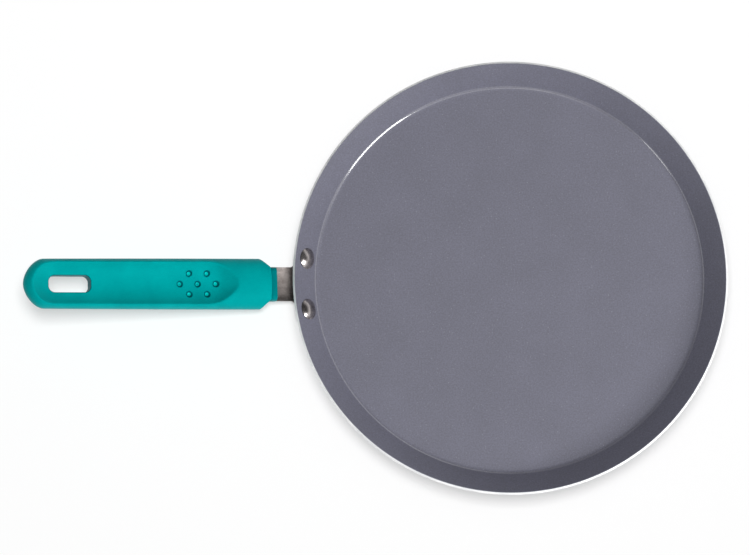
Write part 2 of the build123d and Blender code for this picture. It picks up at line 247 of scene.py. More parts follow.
@dataclass(frozen=True)
class CeramicCoating(Finish):
    """Sol-gel ceramic non-stick coating, sprayed on blasted aluminium and baked.

    The spray leaves an orange peel that breaks up highlights, and mineral flecks show through
    the grey as faint pale points. It pools in a tight fold and dries glossy there, between the
    two radii of the pool.
    """

    name: str = "sprayed_ceramic_coating"
    colour: str = "#777786"
    shade_colour: str = "#6A6A76"
    roughness: Range = (0.38, 0.46)
    tint_spread: float = 0.18
    fleck_colour: str = "#8E8E98"
    fleck_pitch: float = 1.6
    fleck_core_share: float = 0.05
    fleck_width_share: float = 0.26
    fleck_missing_share: float = 0.55
    peel: float = 0.9
    peel_depth: float = 0.012
    cloud: float = 28.0
    cloud_share: float = 0.25
    sheen: float = 0.32
    pool: Range | None = None
    pool_edge: float = 0.5
    pool_index: float = 2.1
    pool_roughness: float = 0.1

    def add_flecks(self, tree: Tree, place: Socket, ground: Socket) -> Socket:
        """Strew the flecks, one in some of the cells, over the ground colour.

        Args:
            tree: The material's node tree.
            place: The object's coordinates.
            ground: The colour between the flecks.

        Returns:
            The colour with its flecks.
        """
        cells = add_node(tree, "TexVoronoi", {"Vector": place, "Scale": per_metre(self.fleck_pitch)}).outputs
        width = between(self.fleck_core_share, self.fleck_width_share)
        fleck = add_node(tree, "MapRange", {"Value": cells["Distance"], "To Min": 1, "To Max": 0} | width)
        picked = add_node(tree, "SeparateColor", {"Color": cells["Color"]}).outputs[0]
        sparse = add_node(tree, "MapRange", {"Value": picked, "From Min": self.fleck_missing_share})
        share = add_node(tree, "Math", {0: fleck.outputs[0], 1: sparse.outputs[0]}, operation="MULTIPLY")
        colours = {COLOUR_A: ground, COLOUR_B: linear(self.fleck_colour)}
        blend = add_node(tree, "Mix", {"Factor": share.outputs[0]} | colours, data_type="RGBA")
        return blend.outputs[MIXED_COLOUR]

    def add_pool(self, shader: Node, place: Socket) -> None:
        """Lay a glossy coat between the two radii of the pool.

        Args:
            shader: The material's shader.
            place: The object's coordinates.
        """
        tree = shader.id_data
        low, high = self.pool
        radius = distance_from_axis(tree, place)
        start = between(low * MM, (low + self.pool_edge) * MM)
        stop = between((high - self.pool_edge) * MM, high * MM)
        rise = add_node(tree, "MapRange", {"Value": radius} | start)
        fall = add_node(tree, "MapRange", {"Value": radius, "To Min": 1, "To Max": 0} | stop)
        inside = add_node(tree, "Math", {0: rise.outputs[0], 1: fall.outputs[0]}, operation="MINIMUM")
        tree.links.new(inside.outputs[0], shader.inputs["Coat Weight"])
        shader.inputs["Coat IOR"].default_value = self.pool_index
        shader.inputs["Coat Roughness"].default_value = self.pool_roughness

    def material(self) -> Material:
        """Make the material.

        Returns:
            The material.
        """
        material, shader, place = new_material(self.name)
        tree = material.node_tree
        cloud = add_node(tree, "TexNoise", {"Vector": place, "Scale": per_metre(self.cloud)})
        # Spray grain is finer than a pixel, so it is drawn at about a millimetre to show at all
        spray = {"Vector": place} | grained(self.peel, self.layers)
        grain = add_node(tree, "TexNoise", spray).outputs["Fac"]
        parts = {0: cloud.outputs["Fac"], 1: self.cloud_share, 2: grain}
        mottle = add_node(tree, "Math", parts, operation="MULTIPLY_ADD").outputs[0]
        ground = self.tint(tree, mottle, NOISE_MIDDLE * (1 + self.cloud_share))
        colour = self.add_flecks(tree, place, ground)
        relief = add_node(tree, "Bump", {"Height": grain, "Distance": self.peel_depth * MM})
        self.finish(shader, colour, grain, relief.outputs["Normal"])
        shader.inputs["Specular IOR Level"].default_value = self.sheen
        if self.pool:
            self.add_pool(shader, place)
        return material


@dataclass(frozen=True)
class TurnedAluminium(Finish):
    """Aluminium cut bare on a lathe after the coating was baked.

    The tool leaves fine rings about the pan's axis, so its glints are drawn out into arcs. Where an
    edge radius is given, the metal is dull and bluish from there over the edge's width, where the
    coating thins out.
    """

    colour: str = "#E4E5E7"
    shade_colour: str = "#CFD0D2"
    roughness: Range = (0.2, 0.32)
    metallic: float = 1.0
    feed: float = 0.35
    ring_depth: float = 0.004
    smudge: float = 9.0
    edge_radius: float = 0.0
    edge_width: float = 0.35
    edge_colour: str = "#77848F"

    def material(self) -> Material:
        """Make the material.

        Returns:
            The material.
        """
        material, shader, place = new_material(self.name)
        tree = material.node_tree
        radius = distance_from_axis(tree, place)
        turning = {"W": radius, "Scale": per_metre(self.feed)}
        rings = add_node(tree, "TexNoise", turning, noise_dimensions="1D")
        handling = {"Vector": place} | grained(self.smudge, self.layers)
        smudge = add_node(tree, "TexNoise", handling).outputs["Fac"]
        colour = self.tint(tree, smudge)
        if self.edge_radius:
            edge = between(self.edge_radius * MM, (self.edge_radius + self.edge_width) * MM)
            away = add_node(tree, "MapRange", {"Value": radius} | edge)
            colours = {COLOUR_A: linear(self.edge_colour), COLOUR_B: colour}
            blend = add_node(tree, "Mix", {"Factor": away.outputs[0]} | colours, data_type="RGBA")
            colour = blend.outputs[MIXED_COLOUR]
        depth = self.ring_depth * MM
        relief = add_node(tree, "Bump", {"Height": rings.outputs["Fac"], "Distance": depth})
        self.finish(shader, colour, smudge, relief.outputs["Normal"])
        return material


@dataclass(frozen=True)
class PolishedRivetMetal(Finish):
    """Tumble-polished aluminium of a rivet that was pressed home by a hollow punch.

    The punch leaves the dome a little uneven, so its reflections wander.
    """

    name: str = "polished_rivet_aluminium"
    colour: str = "#B7B1B0"
    shade_colour: str = "#8F8989"
    roughness: Range = (0.17, 0.28)
    metallic: float = 1.0
    layers: float = 2.0
    dent: float = 3.2
    dent_depth: float = 0.09
    dent_layers: float = 1.0
    scratch: float = 0.35
    scratch_depth: float = 0.004

    def material(self) -> Material:
        """Make the material.

        Returns:
            The material.
        """
        material, shader, place = new_material(self.name)
        tree = material.node_tree
        pressing = {"Vector": place} | grained(self.dent, self.dent_layers)
        tumbling = {"Vector": place} | grained(self.scratch, self.layers)
        dents = add_node(tree, "TexNoise", pressing).outputs["Fac"]
        scratches = add_node(tree, "TexNoise", tumbling).outputs["Fac"]
        dented = add_node(tree, "Bump", {"Height": dents, "Distance": self.dent_depth * MM})
        worn = {"Height": scratches, "Distance": self.scratch_depth * MM}
        relief = add_node(tree, "Bump", worn | {"Normal": dented.outputs["Normal"]})
        self.finish(shader, self.tint(tree, dents), scratches, relief.outputs["Normal"])
        return material


@dataclass(frozen=True)
class BrushedSteel(Finish):
    """Cold-rolled stainless strip, belt-brushed along the handle and left bare.

    The brushing draws highlights out across the strip, and handling leaves it a warm grey. The
    slope is the handle's, in radians.
    """

    name: str = "brushed_stainless_strip"
    colour: str = "#938C89"
    shade_colour: str = "#6E6764"
    roughness: Range = (0.3, 0.46)
    metallic: float = 1.0
    tint_spread: float = 0.25
    slope: float = 0.0
    streak: float = 0.45
    streak_length: float = 9.0
    streak_depth: float = 0.006
    stain: float = 4.0

    def material(self) -> Material:
        """Make the material.

        Returns:
            The material.
        """
        material, shader, place = new_material(self.name)
        tree = material.node_tree
        stretch = {"Rotation": (0, self.slope, 0), "Scale": (self.streak_length / self.streak, 1, 1)}
        drawn = add_node(tree, "Mapping", {"Vector": place} | stretch, vector_type="TEXTURE").outputs[0]
        brushing = {"Vector": drawn} | grained(self.streak, self.layers)
        handling = {"Vector": place} | grained(self.stain, self.layers)
        streaks = add_node(tree, "TexNoise", brushing).outputs["Fac"]
        stains = add_node(tree, "TexNoise", handling).outputs["Fac"]
        both = add_node(tree, "Math", {0: streaks, 1: stains}, operation="ADD").outputs[0]
        relief = add_node(tree, "Bump", {"Height": streaks, "Distance": self.streak_depth * MM})
        self.finish(shader, self.tint(tree, both, 2 * NOISE_MIDDLE), streaks, relief.outputs["Normal"])
        return material


@dataclass(frozen=True)
class SatinPlastic(Finish):
    """Glass-filled nylon handle with a satin paint, moulded in a spark-eroded tool.

    The tool's fine texture spreads the light, so the curves show as soft wide gradients, and the
    paint's pigment tints its sheen.
    """

    name: str = "satin_turquoise_plastic"
    colour: str = "#00A6A7"
    shade_colour: str = "#009698"
    roughness: Range = (0.36, 0.46)
    layers: float = 2.0
    tint_spread: float = 0.3
    sheen: float = 0.14
    sheen_colour: str = "#00B8B4"
    texture: float = 0.55
    texture_depth: float = 0.006
    cloud: float = 14.0

    def material(self) -> Material:
        """Make the material.

        Returns:
            The material.
        """
        material, shader, place = new_material(self.name)
        tree = material.node_tree
        # The eroded texture is some 0.05 mm across, and is drawn ten times coarser to show
        eroded = {"Vector": place} | grained(self.texture, self.layers)
        texture = add_node(tree, "TexNoise", eroded).outputs["Fac"]
        cloud = add_node(tree, "TexNoise", {"Vector": place, "Scale": per_metre(self.cloud)}).outputs["Fac"]
        both = add_node(tree, "Math", {0: texture, 1: cloud}, operation="ADD").outputs[0]
        relief = add_node(tree, "Bump", {"Height": texture, "Distance": self.texture_depth * MM})
        self.finish(shader, self.tint(tree, both, 2 * NOISE_MIDDLE), texture, relief.outputs["Normal"])
        shader.inputs["Specular Tint"].default_value = linear(self.sheen_colour)
        shader.inputs["Specular IOR Level"].default_value = self.sheen
        return material


@dataclass(frozen=True)
class ZincPlate(Finish):
    """Machine screw steel with a bright zinc plating, tumbled in the bath.

    The plating has a bluish cast and a fine frosted grain.
    """

    name: str = "zinc_plated_steel"
    colour: str = "#C4C8CE"
    shade_colour: str = "#A9AEB6"
    roughness: Range = (0.25, 0.42)
    metallic: float = 1.0
    frost: float = 0.5
    frost_depth: float = 0.003

    def material(self) -> Material:
        """Make the material.

        Returns:
            The material.
        """
        material, shader, place = new_material(self.name)
        tree = material.node_tree
        frosting = {"Vector": place} | grained(self.frost, self.layers)
        frost = add_node(tree, "TexNoise", frosting).outputs["Fac"]
        relief = add_node(tree, "Bump", {"Height": frost, "Distance": self.frost_depth * MM})
        self.finish(shader, self.tint(tree, frost), frost, relief.outputs["Normal"])
        return material


def select_only(*pieces: Piece) -> None:
    """Select only these objects, with the first one active.

    Args:
        pieces: The objects.
    """
    bpy.ops.object.select_all(action="DESELECT")
    for piece in pieces:
        piece.select_set(True)
    bpy.context.view_layer.objects.active = pieces[0]


@contextmanager
def editing(piece: Piece, kind: str = "VERT") -> Iterator[None]:
    """Hold an object in edit mode with all of it selected.

    Args:
        piece: The object to edit.
        kind: What is selected: VERT, EDGE or FACE.

    Yields:
        Nothing.
    """
    select_only(piece)
    bpy.ops.object.mode_set(mode="EDIT")
    bpy.ops.mesh.select_mode(type=kind)
    bpy.ops.mesh.select_all(action="SELECT")
    yield
    bpy.ops.object.mode_set(mode="OBJECT")


def select_points(piece: Piece, test: Callable[[Vector], bool]) -> None:
    """Select the vertices whose place passes a test, and the edges and faces between them.

    Args:
        piece: The object in edit mode.
        test: Says of a vertex's place whether it is wanted.
    """
    bpy.ops.mesh.select_all(action="DESELECT")
    mesh = bmesh.from_edit_mesh(piece.data)
    for vertex in mesh.verts:
        vertex.select_set(test(vertex.co))
    mesh.select_flush(True)
    bmesh.update_edit_mesh(piece.data)


def extrude(operator: Callable[..., set[str]], shift: Vector) -> None:
    """Extrude what is selected with an operator, by a shift in metres."""
    operator(TRANSFORM_OT_translate={"value": shift})


def new_object(name: str, mesh: bpy.types.Mesh) -> Piece:
    """Put a mesh into the scene as an object.

    Args:
        name: The object's name.
        mesh: Its mesh.

    Returns:
        The new object.
    """
    piece = bpy.data.objects.new(name, mesh)
    bpy.context.scene.collection.objects.link(piece)
    return piece


def settle(piece: Piece, place: Matrix) -> None:
    """Put an object in its place and take the place up into its mesh.

    Args:
        piece: The object.
        place: The matrix that puts it in its place.
    """
    piece.matrix_world = place
    select_only(piece)
    bpy.ops.object.transform_apply(location=True, rotation=True, scale=True)


def new_primitive(name: str, add: Callable[..., set[str]], **sizes: object) -> Piece:
    """Add a primitive with its place in its mesh.

    Args:
        name: The object's name.
        add: The operator that adds it.
        sizes: The operator's settings.

    Returns:
        The new object, at the origin and unturned.
    """
    bpy.ops.object.select_all(action="DESELECT")
    add(**sizes)
    piece = bpy.context.active_object
    piece.name = name
    bpy.ops.object.transform_apply(location=True, rotation=True, scale=True)
    return piece


def close_seams(piece: Piece, gap: float = 0.002) -> None:
    """Merge doubled vertices and turn all faces outwards.

    Args:
        piece: The object to close.
        gap: Widest gap that is merged, in millimetres.
    """
    with editing(piece):
        bpy.ops.mesh.remove_doubles(threshold=gap * MM)
        bpy.ops.mesh.select_all(action="SELECT")
        bpy.ops.mesh.normals_make_consistent(inside=False)


def turn_profile(
    name: str, profile: Profile, steps: int, centre: Vector | None = None, axis: Vector | None = None
) -> Piece:
    """Turn a closed shape from its half profile, as on a lathe.

    Args:
        name: The object's name.
        profile: Points from pole to pole, in millimetres: distance along +X and height.
        steps: Number of steps round the axis.
        centre: A point on the axis, in metres. The origin if left out.
        axis: The axis's direction. +Z if left out.

    Returns:
        The turned object.
    """
    points = [Vector((along, 0, up)) * MM for along, up in profile]
    piece = new_primitive(name, bpy.ops.mesh.primitive_plane_add, size=MM)
    with editing(piece):
        bpy.ops.mesh.merge(type="CENTER")
        bpy.ops.transform.translate(value=points[0])
        for start, end in zip(points, points[1:]):
            extrude(bpy.ops.mesh.extrude_vertices_move, end - start)
        bpy.ops.mesh.select_all(action="SELECT")
        bpy.ops.mesh.spin(
            steps=steps,
            angle=2 * pi,
            use_auto_merge=True,
            center=centre or Vector(),
            axis=axis or Vector((0, 0, 1)),
        )
    close_seams(piece)
    return piece


def apply_modifier(piece: Piece, kind: str, **settings: object) -> None:
    """Add a modifier with its settings and apply it.

    Args:
        piece: The object that gets it.
        kind: The modifier's type name.
        settings: The modifier's settings.
    """
    select_only(piece)
    modifier = piece.modifiers.new(kind.lower(), kind)
    for name, setting in settings.items():
        setattr(modifier, name, setting)
    bpy.ops.object.modifier_apply(modifier=modifier.name)


def round_edges(piece: Piece, width: float, segments: int, limit: float) -> None:
    """Bevel the edges of a piece that are sharper than a limit.

    Args:
        piece: The piece.
        width: Width of the bevel in millimetres.
        segments: Number of faces across the bevel.
        limit: The limit in degrees.
    """
    angle = radians(limit)
    apply_modifier(
        piece, "BEVEL", width=width * MM, segments=segments, limit_method="ANGLE", angle_limit=angle
    )


def cut_away(piece: Piece, tool: Piece) -> None:
    """Cut a tool's shape out of a piece, and throw the tool away."""
    apply_modifier(piece, "BOOLEAN", operation="DIFFERENCE", solver="EXACT", object=tool)
    bpy.data.objects.remove(tool)


def arc(centre: tuple[float, float], radius: float, start: float, stop: float, steps: int) -> Profile:
    """Points of an arc in a profile.

    Args:
        centre: The arc's centre.
        radius: Its radius.
        start: Angle of its first point in degrees, from the first axis.
        stop: Angle of its last point in degrees.
        steps: Number of steps between them.

    Returns:
        The arc's points, both ends included.
    """
    turns = [radians(start + (stop - start) * step / steps) for step in range(steps + 1)]
    return [(centre[0] + radius * cos(turn), centre[1] + radius * sin(turn)) for turn in turns]


def ball_radius(width: float, depth: float) -> float:
    """Radius of the round whose cap is so wide and so deep."""
    return ((width / 2) ** 2 + depth**2) / (2 * depth)


def smooth_by_angle(piece: Piece, limit: float) -> None:
    """Shade a piece smooth, but for edges sharper than a limit in degrees."""
    select_only(piece)
    bpy.ops.object.shade_smooth_by_angle(angle=radians(limit))


def hand_over(piece: Piece, slot: Slot, *nodes: str) -> None:
    """Let a finished piece ride on the pan and stand for its CAD nodes.

    Args:
        piece: The finished piece.
        slot: The record's material slot; not used.
        nodes: The CAD nodes that it replaces.
    """
    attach(piece, BODY)
    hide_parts(*nodes)
    LOG.info("%s: %d faces, for %s", piece.name, len(piece.data.polygons), ", ".join(nodes))


@dataclass
class Dish:
    """The pressed aluminium dish: coated inside and outside, bare at its rim and base."""

    rim_diameter: float = 260.0
    inner_depth: float = 15.0
    wall: float = 2.0
    base: float = 2.6
    wall_slope: float = 50.0
    fold_radius: float = 4.0
    rim_rounding: float = 0.45
    ring_count: int = 9
    ring_first_radius: float = 18.0
    ring_edge_margin: float = 8.0
    ring_width: float = 1.2
    ring_depth: float = 0.3
    bare_base_margin: float = 3.0
    steps: int = 288
    fold_steps: int = 12
    rounding_steps: int = 5
    floor_step: float = 12.0
    crisp_angle: float = 30.0

    def up_wall(self) -> Vector:
        """Direction up the wall in the half profile."""
        return Vector((cos(radians(self.wall_slope)), sin(radians(self.wall_slope))))

    def out_wall(self) -> Vector:
        """Direction out of the wall's outer face in the half profile."""
        return Vector((sin(radians(self.wall_slope)), -cos(radians(self.wall_slope))))

    def rim_outer(self) -> Vector:
        """Outer corner of the rim before it is rounded."""
        drop = self.wall * cos(radians(self.wall_slope))
        return Vector((self.rim_diameter / 2, self.base + self.inner_depth - drop))

    def rim_inner(self) -> Vector:
        """Inner corner of the rim before it is rounded."""
        return self.rim_outer() - self.out_wall() * self.wall

    def inner_profile(self) -> Profile:
        """Draw the coated inside.

        Returns:
            Its half profile, from the middle up to the rim.
        """
        lean = self.wall_slope
        rim = self.rim_inner()
        corner = rim.x - self.inner_depth / tan(radians(lean))
        flat = corner - self.fold_radius * tan(radians(lean / 2))
        rings = int(flat / self.floor_step)
        floor = [(flat * ring / rings, self.base) for ring in range(rings)]
        fold = arc((flat, self.base + self.fold_radius), self.fold_radius, -90, lean - 90, self.fold_steps)
        return floor + fold

    def rim_profile(self) -> Profile:
        """Draw the rim, cut square to the wall, with both corners rounded.

        Returns:
            Its half profile, from the inside to the outside.
        """
        up, out, rounding = self.up_wall(), self.out_wall(), self.rim_rounding
        inner = self.rim_inner() - up * rounding + out * rounding
        outer = self.rim_outer() - up * rounding - out * rounding
        inside = self.wall_slope + 90
        across = self.wall_slope
        outside = self.wall_slope - 90
        first = arc(tuple(inner), rounding, inside, across, self.rounding_steps)
        second = arc(tuple(outer), rounding, across, outside, self.rounding_steps)
        return first + second

    def outer_profile(self) -> Profile:
        """Draw the outside.

        Returns:
            Its half profile, from the rim down to the middle of the base.
        """
        lean = self.wall_slope
        rim = self.rim_outer()
        fold_radius = self.fold_radius + self.wall
        corner = rim.x - rim.y / tan(radians(lean))
        flat = corner - fold_radius * tan(radians(lean / 2))
        fold = arc((flat, fold_radius), fold_radius, lean - 90, -90, self.fold_steps)
        last = flat - self.ring_edge_margin
        half, soft = self.ring_width / 2, self.ring_depth / 2
        rings = []
        for ring in reversed(range(self.ring_count)):
            share = ring / (self.ring_count - 1)
            radius = self.ring_first_radius + (last - self.ring_first_radius) * share
            rings += [(radius + half, 0), (radius + half - soft, self.ring_depth)]
            rings += [(radius - half + soft, self.ring_depth), (radius - half, 0)]
        return fold + [(flat - self.bare_base_margin, 0)] + rings + [(0, 0)]

    def bare_base_radius(self) -> float:
        """Radius inside which the underside is turned bare."""
        return self.outer_profile()[self.fold_steps + 1][0]

    def build(self) -> Piece:
        """Turn the dish.

        Returns:
            The dish, not yet dressed.
        """
        profile = self.inner_profile() + self.rim_profile() + self.outer_profile()
        dish = turn_profile("pressed_dish", profile, self.steps)
        smooth_by_angle(dish, self.crisp_angle)
        return dish

    def materials(self) -> list[Material]:
        """Make the finishes.

        Returns:
            One material for each zone, in the zones' order.
        """
        # The coating pools on the upper half of the fold, up to where the wall begins
        fold = self.inner_profile()[-1 - self.fold_steps :]
        inside = CeramicCoating(pool=(fold[self.fold_steps // 2 - 1][0], fold[-1][0]))
        # The rim is cut across the wall after baking and left as cut, so it is nearly white and matt
        rim = TurnedAluminium(
            "turned_bare_rim",
            "#FAFAFA",
            "#EEEFF0",
            roughness=(0.7, 0.8),
            ring_depth=0.0005,
            edge_radius=self.rim_inner().x,
        )
        # The outside is sprayed with a plainer coat, which looks darker
        outside = CeramicCoating("sprayed_outer_coating", "#5B5A63", "#55545D", fleck_colour="#66656E")
        return [finish.material() for finish in (inside, rim, outside, TurnedAluminium("turned_bare_base"))]

    def dress(self, dish: Piece) -> None:
        """Give each zone of the dish its finish.

        Args:
            dish: The turned dish.
        """
        for material in self.materials():
            dish.data.materials.append(material)
        rim_low = (self.rim_outer().y - self.rim_rounding) * MM
        rim_start = (self.rim_inner().x + self.rim_rounding / 4) * MM
        bare = self.bare_base_radius() * MM
        for face in dish.data.polygons:
            zone = DishZone.INSIDE
            radius = sqrt(face.center.x**2 + face.center.y**2)
            if face.center.z > rim_low and radius > rim_start:
                zone = DishZone.RIM
            elif radius < bare and face.center.z < self.base / 2 * MM:
                zone = DishZone.BARE_BASE
            elif face.normal.z < 0:
                zone = DishZone.OUTSIDE
            face.material_index = zone.value

    def make(self) -> None:
        """Build, dress and hand over the dish."""
        dish = self.build()
        self.dress(dish)
        hand_over(dish, Slot.COATED_ALUMINIUM, "pan_body")


@dataclass
class Rivets:
    """The two rivets that hold the bracket, each with a domed head inside and a formed tail."""

    dish: Dish
    spacing: float = 30.4
    below_rim: float = 10.2
    shank_diameter: float = 5.0
    head_diameter: float = 12.4
    head_height: float = 2.5
    head_edge: float = 0.35
    head_sink: float = 0.3
    # Width of the head's edge that is darkened with painted shade
    edge_shade_width: float = 0.12
    tail_diameter: float = 8.6
    tail_height: float = 1.8
    tail_sink: float = 0.4
    plate: float = 2.0
    steps: int = 128
    dome_steps: int = 18
    crisp_angle: float = 40.0

    def profile(self) -> Profile:
        """Draw a rivet.

        Returns:
            Its half profile, from the top of its head to the end of its tail.
        """
        head, tail, shank = self.head_diameter / 2, self.tail_diameter / 2, self.shank_diameter / 2
        dome = ball_radius(self.head_diameter, self.head_height - self.head_edge)
        points = []
        for step in range(self.dome_steps + 1):
            out = head * step / self.dome_steps
            points.append((out, self.head_height - dome + sqrt(dome**2 - out**2)))
        plate = -self.dish.wall - self.plate
        points += [(head, -self.head_sink), (shank, -self.head_sink), (shank, plate + self.tail_sink)]
        points += [(tail, plate + self.tail_sink), (tail, plate)]
        for step in range(1, self.dome_steps + 1):
            turn = pi / 2 * step / self.dome_steps
            points.append((tail * cos(turn), plate - self.tail_height * sin(turn)))
        return points

    def seat(self, side: int) -> Matrix:
        """Place of a rivet: its z points into the pan.

        Args:
            side: 1 for the cook's left, -1 for the right.

        Returns:
            The matrix that puts the rivet there.
        """
        point = self.dish.rim_inner() - self.dish.up_wall() * self.below_rim
        across = side * self.spacing / 2
        back = sqrt(point.x**2 - across**2)
        inwards = Vector((back, -across, 0)).normalized() * self.dish.out_wall().x
        normal = Vector((inwards.x, inwards.y, -self.dish.out_wall().y))
        turn = normal.to_track_quat("Z", "Y").to_matrix().to_4x4()
        return Matrix.Translation(Vector((-back, across, point.y)) * MM) @ turn

    def make(self) -> None:
        """Turn one rivet, copy it to both places, and dress and hand over the copies."""
        pattern = turn_profile("rivet", self.profile(), self.steps)
        smooth_by_angle(pattern, self.crisp_angle)
        pattern.data.materials.append(PolishedRivetMetal().material())
        # The head's edge in the corner round the head is darkened with painted shade
        edge_shade = PolishedRivetMetal("painted_shade_rivet_edge", "#4A4747", "#3A3838", roughness=(0.4, 0.55))
        pattern.data.materials.append(edge_shade.material())
        for face in pattern.data.polygons:
            radius = sqrt(face.center.x**2 + face.center.y**2)
            face.material_index = int(radius > (self.head_diameter / 2 - self.edge_shade_width) * MM)
        for side, node in ((1, "rivet_left"), (-1, "rivet_right")):
            rivet = new_object(f"polished_{node}", pattern.data.copy())
            settle(rivet, self.seat(side))
            hand_over(rivet, Slot.RIVET_METAL, node)
        bpy.data.objects.remove(pattern)


@dataclass
class Grip:
    """The moulded grip: an oval bar with a trough, seven dimples and a hanging slot."""

    length: float = 148.7
    width: float = 30.4
    crown: float = 8.6
    belly: float = 9.5
    tip_length: float = 12.0
    tip_fullness: float = 1.7
    width_shares: tuple[float, float, float] = (1.0, 0.995, 0.97)
    belly_shares: tuple[float, float, float] = (0.84, 1.0, 0.82)
    shoulder_length: float = 2.65
    shoulder_drop: float = 5.5
    trough_width: float = 25.0
    trough_depth: float = 5.2
    trough_pan_end: float = 20.0
    trough_tip_margin: float = 4.5
    trough_end_slope: float = 35.0
    trough_end_radius: float = 18.0
    trough_end_steps: int = 8
    dimple_diameter: float = 4.0
    dimple_depth: float = 1.3
    dimple_pitch: float = 10.9
    dimple_row_spacing: float = 6.1
    dimple_centre: float = 43.35
    dimple_facets: int = 48
    slot_length: float = 25.3
    slot_width: float = 10.0
    slot_corner_radius: float = 3.9
    slot_corner_steps: int = 12
    slot_from_tip: float = 15.35
    screw_from_end: float = 12.0
    screw_seat_up: float = -4.75
    counterbore_diameter: float = 8.4
    counterbore_facets: int = 64
    facets: int = 160
    bar_steps: int = 24
    tip_steps: int = 14
    tool_steps: int = 160
    voxel: float = 0.42
    softening: float = 0.5
    softening_rounds: int = 18
    detail_softening_rounds: int = 2
    detail_margin: float = 0.9
    dimple_seam: float = 0.0005
    crisp_angle: float = 52.0
    dimple_gloss_highlight_share: float = 0.56
    slot_edge: float = 0.35
    broad_from_up: float = -1.5
    broad_from_end: float = 12.0

    def axes(self) -> Matrix:
        """Matrix from the handle's own axes to the pan's frame.

        The slope is that of the hanging slot's mount, and the grip's CAD node gives the place:
        its pan end is at x = 0, and the top of its crown is one crown above the x axis.

        Returns:
            The matrix. Its x runs out along the handle, and its z runs up.
        """
        mounts = {mount["name"]: mount for mount in frame["record"]["mounts"]}
        up = Vector(mounts["hanging_slot"]["axis"]).normalized()
        out = Vector((-up.z, 0, up.x))
        places = [vertex.co for vertex in frame["nodes"]["handle_grip"].data.vertices]
        start = min(place.dot(out) for place in places)
        top = max(place.dot(up) for place in places)
        turn = Matrix((out, up.cross(out), up)).transposed().to_4x4()
        return Matrix.Translation(out * start + up * (top - self.crown * MM)) @ turn

    def through_three(self, shares: Sequence[float], along: float) -> float:
        """Value at a share of the bar's length, on the curve through three shares.

        Args:
            shares: Values at the bar's start, middle and end.
            along: Share of the bar's length.

        Returns:
            The value there.
        """
        first, middle, last = shares
        early = first * (1 - along) * (1 - 2 * along)
        late = last * along * (2 * along - 1)
        return early + middle * 4 * along * (1 - along) + late

    def stations(self) -> list[tuple[float, float, float, float]]:
        """Section the grip along its length.

        Returns:
            Each section's place, half width, crown and belly.
        """
        straight = self.length - self.tip_length
        rows = []
        for step in range(self.bar_steps + 1):
            along = step / self.bar_steps
            half = self.width / 2 * self.through_three(self.width_shares, along)
            belly = self.belly * self.through_three(self.belly_shares, along)
            rows.append((straight * along, half, self.crown, belly))
        _, half, crown, belly = rows[-1]
        power = 2 / self.tip_fullness
        for step in range(1, self.tip_steps):
            turn = pi / 2 * step / self.tip_steps
            place = straight + self.tip_length * sin(turn) ** power
            share = cos(turn) ** power
            rows.append((place, half * share, crown * share, belly * share))
        return rows

    def bar(self) -> Piece:
        """Extrude the oval bar from section to section and close both ends.

        Returns:
            The closed bar.
        """
        add, upright = bpy.ops.mesh.primitive_circle_add, (0, pi / 2, 0)
        bar = new_primitive("grip", add, vertices=self.facets, radius=MM, rotation=upright)
        place, half, crown, belly = 0.0, 1.0, 1.0, 1.0
        with editing(bar):
            for new_place, new_half, new_crown, new_belly in self.stations():
                if new_place > 0:
                    extrude(bpy.ops.mesh.extrude_edges_move, Vector(((new_place - place) * MM, 0, 0)))
                centre = Vector((new_place, 0, 0)) * MM
                wider, higher = new_half / half, new_crown / crown
                bpy.ops.transform.resize(value=(1, wider, higher), center_override=centre)
                low = new_place * MM - HAIR
                select_points(bar, lambda point: point.x > low and point.z < 0)
                deeper = (new_belly / belly) / higher
                bpy.ops.transform.resize(value=(1, 1, deeper), center_override=centre)
                select_points(bar, lambda point: point.x > low)
                place, half, crown, belly = new_place, new_half, new_crown, new_belly
            extrude(bpy.ops.mesh.extrude_edges_move, Vector(((self.length - place) * MM, 0, 0)))
            bpy.ops.mesh.merge(type="CENTER")
            select_points(bar, lambda point: point.x < HAIR)
            bpy.ops.mesh.edge_face_add()
        close_seams(bar)
        return bar

    def cut_shoulders(self, bar: Piece) -> None:
        """Cut a corner off each side of the pan end.

        Args:
            bar: The closed bar.
        """
        for side in (-1, 1):
            corner = Vector((0, side * (self.width / 2 - self.shoulder_drop), 0)) * MM
            outwards = Vector((-self.shoulder_drop, side * self.shoulder_length, 0))
            with editing(bar):
                bpy.ops.mesh.bisect(plane_co=corner, plane_no=outwards, use_fill=True, clear_outer=True)

    def trough_levels(self) -> tuple[float, float]:
        """Height of the trough's floor and its radius across the grip."""
        crest = self.crown * sqrt(1 - (self.trough_width / self.width) ** 2)
        return crest - self.trough_depth, ball_radius(self.trough_width, self.trough_depth)

    def trough_floor_start(self) -> float:
        """Place along the grip where the slope of the trough's pan end would meet its floor."""
        floor, _ = self.trough_levels()
        return self.trough_pan_end + (self.crown - floor) / tan(radians(self.trough_end_slope))

    def trough_tool(self) -> Piece:
        """Turn the spindle that is as long and as wide as the trough.

        Returns:
            The spindle.
        """
        floor, radius = self.trough_levels()
        axis_up = floor + radius
        lean, blend, steps = self.trough_end_slope, self.trough_end_radius, self.trough_end_steps
        run = tan(radians(lean))
        tip_share = 1 - self.trough_tip_margin / self.tip_length
        tip_crest = self.crown * (1 - tip_share**self.tip_fullness) ** (1 / self.tip_fullness)
        start = self.trough_floor_start()
        stop = self.length - self.trough_tip_margin - (tip_crest - floor) / run
        setback = blend * tan(radians(lean / 2))
        first = arc((start + setback, floor + blend), blend, 270 - lean, 270, steps)
        last = arc((stop - setback, floor + blend), blend, 270, 270 + lean, steps)
        ends = (start - radius / run, axis_up), (stop + radius / run, axis_up)
        profile = [ends[0], *first, *last, ends[1]]
        middle, along = Vector((0, 0, axis_up * MM)), Vector((1, 0, 0))
        return turn_profile("trough_tool", profile, self.tool_steps, middle, along)

